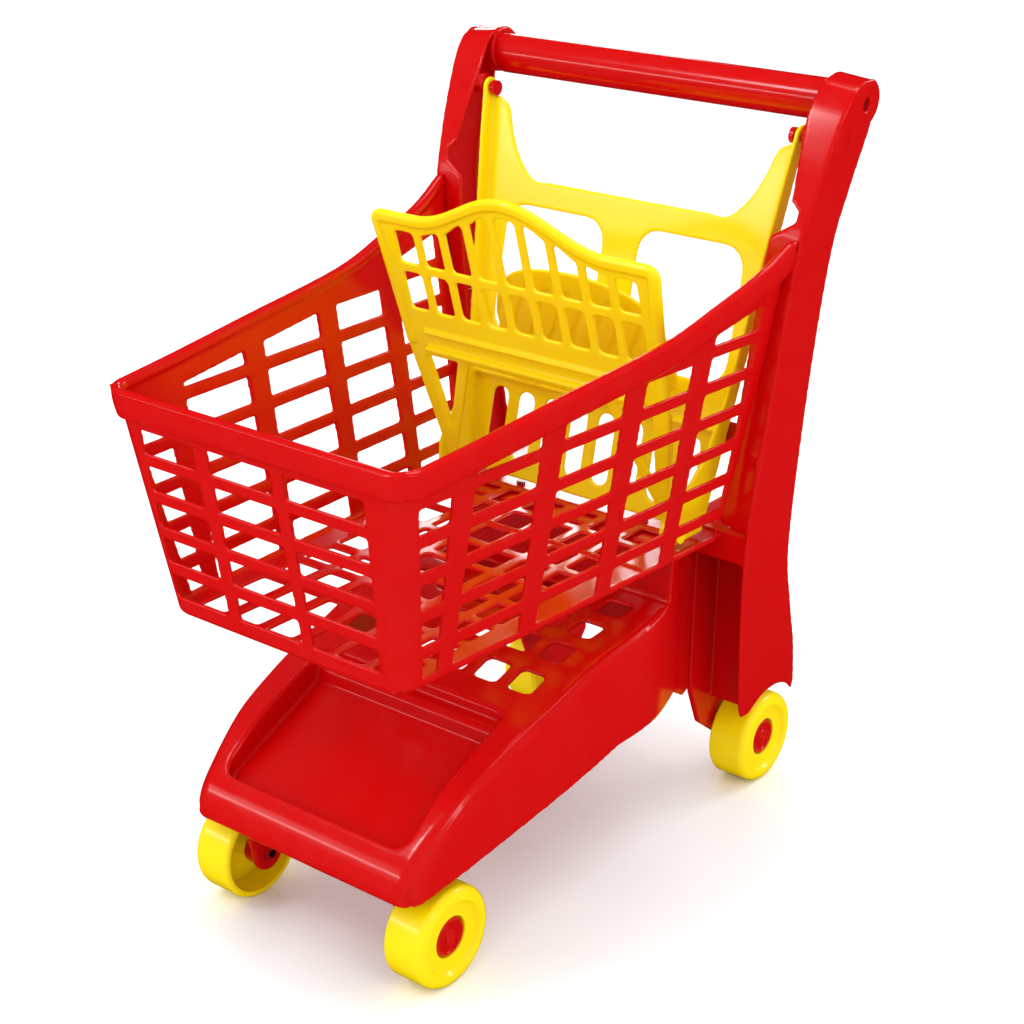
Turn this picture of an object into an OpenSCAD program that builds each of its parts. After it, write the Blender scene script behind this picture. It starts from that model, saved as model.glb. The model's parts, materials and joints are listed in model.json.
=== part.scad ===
// Child's shopping cart, moulded plastic.
// Frame: X across the cart, the nose looks along -Y, Z up, origin on the floor
// under the middle of the overall box. Lengths in millimetres, angles in degrees.

/* [Wheels] */
// Diameter of each wheel
wheel_d = 70; // [60:1:76]
// Width of each wheel
wheel_w = 31; // [26:1:34]
// Distance between the front and rear axles
wheelbase = 357; // [320:1:400]
// Width over the outer faces of the front wheels
front_track = 201; // [196:1:208]
// Width over the outer faces of the rear wheels
rear_track = 229; // [224:1:236]
// Diameter of the axle pin shank
axle_d = 10; // [8:0.5:11]
// Diameter of the axle pin head
axle_head_d = 27; // [24:1:29]

/* [Uprights and handle] */
// Height of the handle axis above the floor
handle_z = 524; // [500:1:560]
// Diameter of the handle tube
handle_d = 28; // [24:1:30]
// Wall of the handle tube
handle_wall = 2.5; // [2:0.1:4]
// Outward lean of the uprights
splay = 6.1; // [4:0.1:7]
// Width of the upright at its top end
upright_top_w = 27; // [24:1:28]
// Width of the upright's front flange beside the basket
upright_flange_w = 24; // [18:1:25]
// Wall of the uprights
upright_wall = 3; // [2.4:0.1:4]

/* [Base tray] */
// Half width of the base at its nose
base_nose_hw = 97; // [94:1:99]
// Widest half width of the base
base_mid_hw = 107; // [102:1:110]
// Height of the base deck at its rear
deck_z = 187; // [178:1:192]
// Wall of the base moulding
base_wall = 3; // [2.4:0.1:4]
// Depth of the tray below the lip of the nose
tray_depth = 10; // [7:0.5:12]
// Side of the square holes in the deck
deck_hole = 19; // [14:1:21]

/* [Basket] */
// Height of the underside of the basket floor
basket_z = 225; // [218:1:232]
// Wall of the basket panels
basket_wall = 2.8; // [2.2:0.1:3.4]
// Half width of the basket floor at its front
basket_front_hw = 97; // [90:1:100]
// Half width of the basket floor at its rear
basket_rear_hw = 113; // [109:1:114]
// Height of the rim band
rim_h = 17; // [14:1:19]
// How far the rim band stands proud of the wall
rim_out = 3.5; // [2:0.5:5]
// Rows of slots in each side wall
side_rows = 7; // [5:1:8]
// Height of the slats between the side slots
slat_h = 9; // [7:0.5:11]

/* [Child seat] */
// Wall of the gate, flap and seat plate
seat_wall = 3; // [2.4:0.1:3.6]
// Depth of the gate's side flanges
gate_flange = 14; // [10:1:15]
// Length of the flap from its hinge to its shoulders
flap_len = 214; // [200:1:222]
// Height of the wave on the flap's top edge
flap_wave = 26; // [18:1:30]
// Length of the seat plate
seat_len = 89; // [80:1:92]
// Diameter of the hinge pins
pin_d = 6; // [5:0.5:7]

/* [Fits] */
// Radial running clearance of pins and axles
run_fit = 0.08; // [0.04:0.01:0.1]
// Gap between neighbouring mouldings that move
gap = 0.5; // [0.4:0.1:0.8]

/* [Hidden] */
$fn = 64;
eps = 0.01;
far = 900;

// All working coordinates have y = 0 at the rear axle; shift_y centres the box.
wheel_r = wheel_d / 2;
nose_y = -(wheelbase + 40);
basket_front_y = -(wheelbase + 47);
front_lean = 22 / 149;
front_wall_h = 149;
rim_front_y = basket_front_y - front_lean * front_wall_h - rim_out;
shift_y = -(rim_front_y + wheel_r) / 2;

// ---- curves ----
// Point on a Catmull-Rom curve between b and c
function cr(a, b, c, d, t) = 0.5 * (2 * b + (c - a) * t + (2 * a - 5 * b + 4 * c - d) * t * t
    + (3 * b - a - 3 * c + d) * t * t * t);
// Smooth curve through the given points
function curve(p, n = 6) = [for (i = [0 : len(p) - 2]) for (k = [0 : n - 1])
    cr(p[max(i - 1, 0)], p[i], p[i + 1], p[min(i + 2, len(p) - 1)], k / n), p[len(p) - 1]];
function reversed(p) = [for (i = [len(p) - 1 : -1 : 0]) p[i]];
function moved(p, d) = [for (q = p) q + d];
function arc(c, r, a0, a1, n = 12) = [for (i = [0 : n])
    [c[0] + r * cos(a0 + (a1 - a0) * i / n), c[1] + r * sin(a0 + (a1 - a0) * i / n)]];

// Extrudes a (y, z) outline along X from x0 to x1
module along_x(x0, x1, pts) {
    translate([x0, 0, 0]) rotate([90, 0, 90]) linear_extrude(x1 - x0) polygon(pts);
}
// Extrudes an (x, z) outline along Y from y0 to y1
module along_y(y0, y1, pts) {
    translate([0, y1, 0]) rotate([90, 0, 0]) linear_extrude(y1 - y0) polygon(pts);
}
module rod_x(x0, x1, y, z, r) {
    translate([min(x0, x1), y, z]) rotate([0, 90, 0]) cylinder(h = abs(x1 - x0), r = r);
}
module place() { translate([0, shift_y, 0]) children(); }
module left() { mirror([1, 0, 0]) children(); }
// Rectangle with round corners
module round_rect(x0, x1, y0, y1, r) {
    rr = min(r, (x1 - x0) / 2 - 0.1, (y1 - y0) / 2 - 0.1);
    polygon(concat(arc([x1 - rr, y1 - rr], rr, 0, 90, 4), arc([x0 + rr, y1 - rr], rr, 90, 180, 4),
        arc([x0 + rr, y0 + rr], rr, 180, 270, 4), arc([x1 - rr, y0 + rr], rr, 270, 360, 4)));
}

// ---- wheels ----
tread_round = 6;
inner_round = 2.5;
hub_r = 9;
face_dish = 3.5;
web_t = 7;
rim_t = 4.5;
head_recess = 5;
head_seat = wheel_w - face_dish - head_recess;
front_x = front_track / 2;
rear_x = rear_track / 2;
bracket_t = 5;
bracket_gap = 2;
boss_reach = 8;
boss_r = 11;
screw_d = 3;
screw_head_d = 6.4;
screw_head_h = 2.2;
screw_len = 16;

// Wheel on the X axis, inner face at x = 0, outer face at x = wheel_w
module wheel() {
    color("gold") rotate([0, 90, 0]) difference() {
        rotate_extrude($fn = 96) polygon(concat(
            [[0, 0]],
            arc([wheel_r - inner_round, inner_round], inner_round, 270, 360, 5),
            arc([wheel_r - tread_round, wheel_w - tread_round], tread_round, 0, 90, 8),
            [[wheel_r - tread_round - 3, wheel_w],
             [wheel_r - tread_round - 5, wheel_w - face_dish],
             [axle_head_d / 2 + 1, wheel_w - face_dish],
             [axle_head_d / 2 + 0.6, head_seat],
             [0, head_seat]]));
        // hollow inner side, with the hub left standing
        translate([0, 0, -eps]) difference() {
            cylinder(h = wheel_w - face_dish - web_t + eps, r = wheel_r - rim_t);
            translate([0, 0, boss_reach + gap]) cylinder(h = wheel_w, r = hub_r);
        }
        translate([0, 0, -1]) cylinder(h = wheel_w + 2, r = axle_d / 2 + run_fit);
    }
}
// Axle pin for a wheel whose inner face is at x = 0: head, shank and screw hole
module axle_pin() {
    head_t = 3;
    color("firebrick") difference() {
        union() {
            rod_x(head_seat + gap, head_seat + gap + head_t, 0, 0, axle_head_d / 2);
            rod_x(head_seat + gap + head_t - eps, head_seat + gap + head_t + 1.6, 0, 0, 5);
            rod_x(-bracket_gap - bracket_t, head_seat + gap + eps, 0, 0, axle_d / 2);
        }
        rod_x(-bracket_gap - bracket_t - 1, -bracket_gap - bracket_t + screw_len, 0, 0, screw_d / 2);
        // blind slot across the small boss, and two crescent pockets
        translate([head_seat + gap + head_t + 0.6, -3.6, -0.8]) cube([2, 7.2, 1.6]);
        for (a = [30, 210]) rotate([a, 0, 0]) translate([head_seat + gap + head_t - 1, -3, 7.5])
            cube([2, 6, 3.5]);
    }
}
module axle_screw() {
    rod_x(-bracket_gap - bracket_t, -bracket_gap - bracket_t + screw_len - 1, 0, 0, screw_d / 2);
    rod_x(-bracket_gap - bracket_t - screw_head_h, -bracket_gap - bracket_t, 0, 0, screw_head_d / 2);
}
module at_wheel(x_out, y) { place() translate([x_out - wheel_w, y, wheel_r]) children(); }

// ---- uprights ----
// The upright is drawn upright in its own frame, outer face at x = 0, then leans
// outward about a line at the height of the wheel arch.
lean_z = 75;
arch_r = wheel_r + 9;
top_r = handle_d / 2 + 2;
handle_y = -14;
lip_z = 232;
flange_wall = upright_wall;
box_x = rear_x - wheel_w - bracket_gap;
inner_wall_x = box_x - bracket_t;
web_y = -33;
step_z = handle_z - 60;
function lz(z) = (z - lean_z) / cos(splay);
function plate_x(z) = rear_x + 0.5 + (z - lean_z) * tan(splay);
hz = lz(handle_z);
front_edge = curve([[-41, lz(70)], [-48, lz(87)], [-62, lz(143)], [-76, lz(215)], [-78, lz(270)],
    [-77, lz(333)], [-75, hz - 100], [-64.5, hz - 56], [-47, hz - 13], [-36, hz + 6],
    [-27, hz + 13.5], [handle_y, hz + top_r]]);
rear_edge = curve([[-4, hz - 13], [-7, hz - 24], [-18, hz - 57], [-27.5, hz - 100],
    [-26, lz(330)], [-14, lz(207)], [5, lz(151)], [22, lz(111)], [33, lz(75)]]);
plate_outline = concat(front_edge, arc([handle_y, hz], top_r, 84, -44, 14), rear_edge,
    [[33.5, lz(63)], [-40, lz(68)]]);

module leaning() { translate([rear_x + 0.5, 0, lean_z]) rotate([0, splay, 0]) children(); }
module shell_strip(edge, w, dy) {
    along_x(-w, -eps, concat(edge, reversed(moved(edge, [dy, 0]))));
}
// Everything inboard of the leaning outer face
module inboard() {
    intersection() {
        children();
        leaning() translate([-200 - upright_wall + eps, -200, -300]) cube([200, 400, far]);
    }
}
module upright() {
    arch = lz(wheel_r);
    color("red") difference() {
        union() {
            leaning() {
                // outer plate with the wheel arch
                difference() {
                    along_x(-upright_wall, 0, plate_outline);
                    translate([-10, 0, arch]) rotate([0, 90, 0]) cylinder(h = 20, r = arch_r);
                }
                // front flange, stepped where the basket rim meets it
                intersection() {
                    shell_strip(front_edge, upright_top_w, flange_wall);
                    along_y(-200, 200, [[-upright_top_w, hz + 30], [-upright_top_w, hz - 8],
                        [-17, lz(step_z) + 5], [-16.5, lz(step_z)], [-9, lz(step_z) - 5],
                        [-9, lz(452)], [-upright_flange_w, lz(440)], [-upright_flange_w, lz(lip_z)],
                        [1, lz(lip_z)], [1, hz + 30]]);
                }
                // rear flange
                intersection() {
                    shell_strip(rear_edge, 9, -flange_wall);
                    along_y(-200, 200, [[-9, hz], [-9, lz(95)], [1, lz(95)], [1, hz]]);
                }
                // round end that holds the handle
                translate([-upright_top_w, handle_y, hz]) rotate([0, 90, 0])
                    cylinder(h = upright_top_w - 1, r = top_r + 0.2);
                // cross ribs between the flanges
                for (z = [290, 350, 410]) translate([-7, -76, lz(z)]) cube([7 - eps, 46, 2.4]);
                // bosses for the gate pin
                translate([-plate_x(gate_pin_z) + gate_x(gate_pin_z) + gate_ear_gap, gate_pin_y,
                    lz(gate_pin_z)]) rotate([0, 90, 0]) cylinder(h = 30 - gate_ear_gap, r = 7);
            }
            // stop that the gate's edge rests against
            inboard() along_x(gate_x(stop_z) - 4, gate_x(stop_z) + 56,
                [for (q = [[-9, 0], [9, 0], [9, 3], [-9, 3]]) [gate_y(stop_z + q[0]) + gap + q[1],
                stop_z + q[0]]]);
            // lower box: inner wall, web in front of the wheel, lip under the basket
            along_x(inner_wall_x, box_x, concat(
                [[saddle_y1, lip_z], [saddle_y1, 96], [-58, 84], [-46, 56]],
                arc([0, wheel_r], boss_r + 2, 200, 380, 14), [[28, 60], [20, 110], [-8, 200], [-8, lip_z]]));
            rod_x(box_x - eps, box_x + bracket_gap + boss_reach, 0, wheel_r, boss_r);
            inboard() translate([box_x - 1, web_y, 73]) cube([90, upright_wall, lip_z - 73]);
            inboard() along_x(box_x - 1, 200, [[-75, lip_z], [-75, lip_z - 3], [web_y + 1, lip_z - 3],
                [web_y + 1, lip_z]]);
        }
        // bore for the axle pin and seats for the screws
        rod_x(inner_wall_x - 1, box_x + 30, 0, wheel_r, axle_d / 2);
        leaning() translate([-6, handle_y, hz]) rotate([0, 90, 0]) cylinder(h = 20, r = 4.6);
        leaning() translate([-40, handle_y, hz]) rotate([0, 90, 0]) cylinder(h = 60, r = screw_d / 2);
        // bore for the gate pin
        translate([gate_x(gate_pin_z) - 5, gate_pin_y, gate_pin_z]) rotate([0, 90, 0])
            cylinder(h = gate_pin_deep + 5, r = pin_d / 2);
        for (p = base_screw_at) rod_x(inner_wall_x - 1, box_x - 1, p[0], p[1], screw_d / 2);
    }
}

// ---- handle ----
module handle_tube() {
    reach = plate_x(handle_z) + 20;
    color("red") difference() {
        union() {
            difference() {
                rod_x(-reach, reach, handle_y, handle_z, handle_d / 2);
                rod_x(-reach - 1, reach + 1, handle_y, handle_z, handle_d / 2 - handle_wall);
            }
            // end plugs that take the screws
            for (s = [-1, 1]) rod_x(s * (plate_x(handle_z) - upright_top_w - 12), s * reach,
                handle_y, handle_z, handle_d / 2 - handle_wall + eps);
        }
        // ends cut to lie flat on the leaning uprights
        for (s = [0, 1]) mirror([s, 0, 0]) leaning()
            translate([-upright_top_w, -100, hz - 100]) cube([200, 200, 300]);
        for (s = [0, 1]) mirror([s, 0, 0]) handle_screw_axis(-1);
    }
}
handle_screw_len = 34;
module handle_screw_axis(head) {
    leaning() translate([-6, handle_y, hz]) rotate([0, 90, 0]) {
        translate([0, 0, -handle_screw_len + 6]) cylinder(h = handle_screw_len - 6 + eps, r = screw_d / 2);
        if (head > 0) cylinder(h = 2.6, r = 3.6);
    }
}
module handle_screw() {
    color("dimgray") difference() {
        handle_screw_axis(1);
        leaning() translate([-4.4, handle_y, hz]) {
            translate([0, -0.5, -2.6]) cube([2, 1, 5.2]);
            translate([0, -2.6, -0.5]) cube([2, 5.2, 1]);
        }
    }
}

// ---- base tray ----
// Upper outline of the base from the nose to the rear, in the (y, z) plane
base_rear_y = -12;
top_line = curve([[nose_y + 2, 71], [nose_y, 80], [nose_y + 12, 100.5], [nose_y + 48, 129],
    [nose_y + 92, 149], [nose_y + 136, 163], [nose_y + 180, 176], [-172, deck_z - 5],
    [-120, deck_z]], 5);
low_line = [[nose_y + 2, 71], [nose_y + 55, 79], [-250, 95], [-190, 106], [-100, 106], [-74, 90],
    [base_rear_y, 90]];
function lowered(p, d) = [for (q = p) [q[0] + (q[0] < nose_y + 20 ? d * 0.9 : 0), q[1] - d]];
// Half of the plan outline, from the nose back
side_line = curve([[base_nose_hw - 8, nose_y], [base_nose_hw - 2, nose_y + 4], [base_nose_hw, nose_y + 14],
    [base_nose_hw + 4, nose_y + 70], [base_mid_hw - 1, nose_y + 150], [base_mid_hw, -200],
    [base_mid_hw - 1, -150], [96, -112], [84, -86], [inner_wall_x, -62]], 5);
function inset(p, d) = [for (q = p) [max(q[0] - d, 0), q[1] + (q[1] < nose_y + 6 ? d : 0)]];
function plan_closed(p, w, y1) = concat(p, [[w, y1]], [[-w, y1]], [for (q = reversed(p)) [-q[0], q[1]]]);
module plan(p, w, y1) { linear_extrude(400) polygon(plan_closed(p, w, y1)); }
// Plate beside a front wheel, with the boss that reaches into the wheel
module front_bracket() {
    along_x(front_box_x - bracket_t, front_box_x, concat(
        [[-wheelbase + 38, 150], [-wheelbase + 30, 74]],
        reversed(arc([-wheelbase, wheel_r], boss_r + 2, 180, 370, 14)),
        [[-wheelbase - 20, 62], [-wheelbase - 24, 150]]));
    rod_x(front_box_x - eps, front_box_x + bracket_gap + boss_reach, -wheelbase, wheel_r, boss_r);
}
deck_profile = concat(top_line, [[base_rear_y, deck_z]], reversed(low_line));
tray_y0 = nose_y + 15;
tray_y1 = nose_y + 118;
tray_hw = 78;
tray_lip_z = 103;
tray_slope = 0.475;
step_y = 13;
step_h = 8;
hole_pitch_x = 28.5;
hole_pitch_y = 33;
hole_rows = 4;
hole_y0 = nose_y + 148;
saddle_y0 = -124;
saddle_y1 = -62;
saddle_lean = 5;
base_screw_at = [[-50, 118], [-50, 168]];
front_box_x = front_x - wheel_w - bracket_gap;

module base_shell() {
    difference() {
        intersection() {
            along_x(-200, 200, deck_profile);
            plan(side_line, inner_wall_x, base_rear_y);
        }
        intersection() {
            along_x(-200, 200, concat([[nose_y + 2 + base_wall, 0]], lowered(top_line, base_wall),
                [[base_rear_y - base_wall, deck_z - base_wall], [base_rear_y - base_wall, 0]]));
            plan(inset(side_line, base_wall), inner_wall_x - base_wall, base_rear_y - base_wall);
        }
    }
}
// Hollow of the tray above its sloping floor, grown by d
module tray_void(d) {
    intersection() {
        translate([0, 0, 40]) linear_extrude(200)
            round_rect(-tray_hw - d, tray_hw + d, tray_y0 - d, tray_y1 + d, 9);
        along_x(-200, 200, [[tray_y0 - 20, tray_floor_z(tray_y0 - 20) - d],
            [tray_y1 + 20, tray_floor_z(tray_y1 + 20) - d], [tray_y1 + 20, 300], [tray_y0 - 20, 300]]);
    }
}
function tray_floor_z(y) = tray_lip_z - tray_depth + tray_slope * (y - tray_y0);
// Everything below the deck, lowered by d
module under_deck(d) {
    along_x(-200, 200, concat([[nose_y - 1, 0]], [for (q = top_line) [q[0], q[1] - d]],
        [[base_rear_y, deck_z - d], [base_rear_y, 0]]));
}
// Block between two heights with a leaning front, inside the plan of the base
module saddle_block(p, w, y1, y0, z0, z1) {
    intersection() {
        plan(p, w, y1);
        along_x(-200, 200, [[y0, z0], [y0 + saddle_lean, z1], [y1, z1], [y1, z0]]);
    }
}
module base_tray() {
    color("red") difference() {
        union() {
            difference() {
                union() {
                    base_shell();
                    // pan of the tray
                    intersection() {
                        tray_void(base_wall);
                        under_deck(1);
                    }
                    // front wheel brackets
                    for (s = [0, 1]) mirror([s, 0, 0]) intersection() {
                        front_bracket();
                        under_deck(1);
                    }
                }
                tray_void(0);
            }
            // low step across the rear of the tray
            along_x(-tray_hw, tray_hw, [[tray_y1 - step_y, tray_floor_z(tray_y1 - step_y) - 1],
                [tray_y1 - step_y + 2, tray_floor_z(tray_y1) + step_h - 5],
                [tray_y1 - step_y + 6, tray_floor_z(tray_y1) + step_h - 2],
                [tray_y1 + 1, tray_floor_z(tray_y1) + step_h - 1], [tray_y1 + 1, tray_floor_z(tray_y1) - 1]]);
            // saddle that carries the rear of the basket floor
            difference() {
                saddle_block(side_line, inner_wall_x, saddle_y1, saddle_y0, deck_z - 6, basket_z);
                saddle_block(inset(side_line, base_wall), inner_wall_x - base_wall, saddle_y1 - base_wall,
                    saddle_y0 + base_wall, deck_z - 9, basket_z - base_wall);
            }
            // screw pads inside the rear side walls
            for (s = [-1, 1]) for (p = base_screw_at)
                rod_x(s * (inner_wall_x - base_wall + eps), s * (inner_wall_x - 14), p[0], p[1], 5);
        }
        // deck holes
        for (i = [-2.5 : 1 : 2.5]) for (j = [0 : hole_rows - 1])
            translate([0, 0, 120]) linear_extrude(100) round_rect(i * hole_pitch_x - deck_hole / 2,
                i * hole_pitch_x + deck_hole / 2, hole_y0 + j * hole_pitch_y - deck_hole / 2,
                hole_y0 + j * hole_pitch_y + deck_hole / 2, 4);
        for (s = [-1, 1]) {
            rod_x(s * (front_box_x - bracket_t - 1), s * (front_box_x + 30), -wheelbase, wheel_r,
                axle_d / 2);
            for (p = base_screw_at)
                rod_x(s * (inner_wall_x + 1), s * (inner_wall_x - 15), p[0], p[1], screw_d / 2);
        }
        for (x = basket_screw_x) translate([x, basket_screw_y, basket_z - 10]) cylinder(h = 12, r = screw_d / 2);
    }
}
basket_screw_x = [-55, 55];
basket_screw_y = (saddle_y0 + saddle_y1) / 2;

// ---- basket ----
basket_rear_y = -92;
side_b = (basket_rear_hw - basket_front_hw) / (basket_rear_y - basket_front_y);
side_c = 0.162;
side_phi = atan(side_b);
side_th = atan(side_c * cos(side_phi));
floor_end_y = saddle_y1;
front_rim_z = basket_z + front_wall_h;
function front_wall_y(z) = basket_front_y - front_lean * (z - basket_z);

// Puts a panel drawn with x = outward thickness, y = along, z = up onto the right side wall
module on_side() {
    translate([basket_front_hw, basket_front_y, basket_z]) rotate([0, 0, -side_phi])
        rotate([0, side_th, 0]) children();
}
// Side wall outline in (along, up)
wall_low = -3;
wall_top = curve([[-22, 151], [40, 157], [110, 165], [206, 176], [262, 191], [302, 204],
    [338, 223]], 5);
rear_cut = [[322, 60], [313, wall_low + 4]];
side_outline = concat([[1, wall_low], [-22, 151]], wall_top, [[326, 110]], rear_cut);
// Left and right edges of a column of slots, at the foot and at the top of the wall
col_edges = [[[19, 31], [-12, 20]], [[44, 105], [41, 98]], [[121, 181], [119, 175]],
    [[196, 250], [196, 244]], [[264, 313], [264, 313]]];
row_pitch = 26.6;
row_z0 = 2;
slot_low = 5;
function slot_top(u) = 135 + (u > 20 ? (u - 20) * 0.105 : 0) + (u > 200 ? (u - 200) * 0.12 : 0)
    + (u > 264 ? (u - 264) * 0.12 : 0);
function lerp(a, b, t) = a + (b - a) * t;
function edge_at(c, side, v) = lerp(col_edges[c][0][side], col_edges[c][1][side], v / 160);

module side_wall() {
    color("red") difference() {
        on_side() intersection() {
            along_x(-basket_wall, 0, side_outline);
            translate([-50, -400, wall_low]) cube([100, 1000, 400]);
        }
        on_side() for (c = [0 : 4]) for (r = [0 : side_rows - 1]) {
            v0 = max(row_z0 + r * row_pitch, slot_low);
            v1 = row_z0 + (r + 1) * row_pitch - slat_h;
            t0 = min(v1, slot_top(edge_at(c, 0, v1)));
            t1 = min(v1, slot_top(edge_at(c, 1, v1)));
            if (t1 - v0 > 4) along_x(-10, 10, [[edge_at(c, 0, v0), v0], [edge_at(c, 1, v0), v0],
                [edge_at(c, 1, t1), t1], [edge_at(c, 0, max(t0, v0 + 2)), max(t0, v0 + 2)]]);
        }
        // stays clear of the upright's flange and of the front wall
        upright_keepout();
        front_half();
    }
}
// Space taken by the upright beside the basket
module upright_keepout() {
    leaning() along_x(-60, 40, concat(front_edge, [[60, hz], [60, 0]]));
}
// Everything in front of the front wall's inner face
module front_half() {
    along_x(-300, 300, [[front_wall_y(100) + basket_wall, 100], [front_wall_y(500) + basket_wall, 500],
        [-700, 500], [-700, 100]]);
}
front_cols = [[-97, -52, -90, -43], [-40, 12, -33, 19], [22, 85, 28, 82]];
front_rows = [[236, 251.5], [261, 277], [285.5, 301], [310, 326], [335, 350.5]];
module front_wall() {
    color("red") difference() {
        intersection() {
            along_x(-300, 300, [[front_wall_y(basket_z + wall_low), basket_z + wall_low],
                [front_wall_y(front_rim_z), front_rim_z],
                [front_wall_y(front_rim_z) + basket_wall, front_rim_z],
                [front_wall_y(basket_z + wall_low) + basket_wall, basket_z + wall_low]]);
            side_bound(0);
        }
        for (c = front_cols) for (r = front_rows) {
            t0 = (r[0] - 350) / (236 - 350);
            t1 = (r[1] - 350) / (236 - 350);
            along_y(-600, 0, [[lerp(c[0], c[2], t0), r[0]], [lerp(c[1], c[3], t0), r[0]],
                [lerp(c[1], c[3], t1), r[1]], [lerp(c[0], c[2], t1), r[1]]]);
        }
    }
}
// Everything between the outer faces of the side walls, shrunk by d
module side_bound(d) {
    intersection_for (s = [0, 1]) mirror([s, 0, 0]) on_side()
        translate([-400 - d, -300, -200]) cube([400, 1000, 700]);
}
floor_cols = 6;
floor_rows = 9;
bead_w = 3;
bead_h = 1.2;
floor_y1 = floor_end_y - 44;
bead_y = basket_front_y + 14 + 7 * (floor_y1 - basket_front_y - 14 + 9) / floor_rows - 6;
module basket_floor() {
    bar = 9;
    y0 = basket_front_y + 14;
    w = basket_front_hw - 14;
    color("red") difference() {
        intersection() {
            union() {
                along_x(-300, 300, [[front_wall_y(basket_z) + basket_wall, basket_z],
                    [front_wall_y(basket_z + basket_wall) + basket_wall, basket_z + basket_wall],
                    [floor_end_y, basket_z + basket_wall], [floor_end_y, basket_z]]);
                // low bead across the floor in front of the flap
                along_x(-300, 300, [[bead_y, basket_z + 1], [bead_y, basket_z + basket_wall + bead_h],
                    [bead_y + bead_w, basket_z + basket_wall + bead_h], [bead_y + bead_w, basket_z + 1]]);
            }
            side_bound(basket_wall);
        }
        for (i = [0 : floor_cols - 1]) for (j = [0 : floor_rows - 1])
            translate([-w + i * (2 * w + bar) / floor_cols, y0 + j * (floor_y1 - y0 + bar) / floor_rows, basket_z - 5])
                cube([(2 * w + bar) / floor_cols - bar, (floor_y1 - y0 + bar) / floor_rows - bar, 20]);
        for (x = basket_screw_x) translate([x, basket_screw_y, basket_z - 5]) cylinder(h = 20, r = screw_d / 2);
        for (s = [0, 1]) mirror([s, 0, 0]) upright_keepout();
    }
}
// Rim band around the front and sides, outside the walls
module basket_rim() {
    color("red") difference() {
        union() {
            for (s = [0, 1]) mirror([s, 0, 0]) on_side()
                along_x(0, rim_out, concat(wall_top, reversed(moved(wall_top, [0, -rim_h]))));
            difference() {
                along_x(-300, 300, [[front_wall_y(front_rim_z - rim_h) - rim_out, front_rim_z - rim_h],
                    [front_wall_y(front_rim_z) - rim_out, front_rim_z],
                    [front_wall_y(front_rim_z), front_rim_z],
                    [front_wall_y(front_rim_z - rim_h), front_rim_z - rim_h]]);
                for (s = [0, 1]) mirror([s, 0, 0]) on_side() translate([rim_out, -300, -200])
                    cube([400, 1000, 700]);
            }
        }
        for (s = [0, 1]) mirror([s, 0, 0]) upright_keepout();
    }
}

// ---- gate ----
gate_pin_y = -40;
gate_pin_z = handle_z - 21;
gate_foot_z = 231;
gate_back_slope = 57 / 276;
gate_ear_gap = 1.5;
gate_pin_deep = 14;
head_gap = 1.7;
stop_z = 300;
gate_top_y = -33;
// Rear face of the gate plate, and its half width, at a given height
function gate_y(z) = gate_top_y - gate_back_slope * (511 - z);
function gate_x(z) = plate_x(z) - 29.5;
rail_z = 443;
flap_y = -122;
flap_z = 238;
seat_hinge_y = -86;
seat_hinge_z = 318;

ear_curve = curve([[70, rail_z], [84, rail_z + 1], [98, rail_z + 15], [107, rail_z + 32],
    [113, rail_z + 48], [123, rail_z + 54]], 5);
gate_half = concat([[0, rail_z]], ear_curve, [[gate_x(rail_z + 54), rail_z + 54],
    [gate_x(gate_foot_z), gate_foot_z], [0, gate_foot_z]]);
module gate_window(x0, x1, z0, z1, r) {
    translate([0, 100, 0]) rotate([90, 0, 0]) linear_extrude(300) round_rect(x0, x1, z0, z1, r);
}
module gate() {
    color("gold") difference() {
        union() {
            for (s = [0, 1]) mirror([s, 0, 0]) {
                intersection() {
                    along_x(-1, 300, [[gate_y(0) - seat_wall, 0], [gate_y(far) - seat_wall, far],
                        [gate_y(far), far], [gate_y(0), 0]]);
                    along_y(-500, 300, gate_half);
                }
                // side flange with the ear at its top and the flap foot at its bottom
                gate_side(seat_wall, concat(
                    [[gate_y(gate_foot_z), gate_foot_z]],
                    [[gate_y(494), 494]], arc([gate_pin_y, gate_pin_z], 7.6, 0, 180, 10),
                    [[gate_y(470) - gate_flange, 470], [gate_y(330) - gate_flange, 330],
                     [gate_y(290) - gate_flange - 8, 290], [flap_y - 6, flap_z + 22],
                     [flap_y - 9, flap_z + 4], [flap_y - 6, gate_foot_z], [flap_y + 10, gate_foot_z]]));
            }
            // ledge that stiffens the rail, with lugs for the seat plate rod
            along_x(-gate_x(300) + 1, gate_x(300) - 1, [[gate_y(302) - 9, 302], [gate_y(302) - 1, 302],
                [gate_y(305) - 1, 305], [gate_y(305) - 9, 305]]);
            for (x = lug_x) along_x(x - 2, x + 2, concat([[gate_y(303) - 1, 303], [gate_y(328) - 1, 328],
                [seat_hinge_y, seat_hinge_z + 6]], arc([seat_hinge_y, seat_hinge_z], 6, 90, 250, 8),
                [[gate_y(303) - 8, 303]]));
        }
        // leg openings and lower slots
        for (s = [-1, 1]) gate_window(min(s * 15, s * 101), max(s * 15, s * 101), 332, 425, 16);
        for (i = [-3.5 : 1 : 3.5]) gate_window(i * 24 - 7, i * 24 + 7, 243, 294, 6.5);
        for (s = [-1, 1]) {
            rod_x(s * 90, s * 160, gate_pin_y, gate_pin_z, pin_d / 2 + run_fit);
            rod_x(s * 60, s * 160, flap_y, flap_z, pin_d / 2);
        }
        rod_x(-lug_x[1] - 10, lug_x[1] + 10, seat_hinge_y, seat_hinge_z, pin_d / 4);
    }
}
lug_x = [-48, 48];
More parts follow.
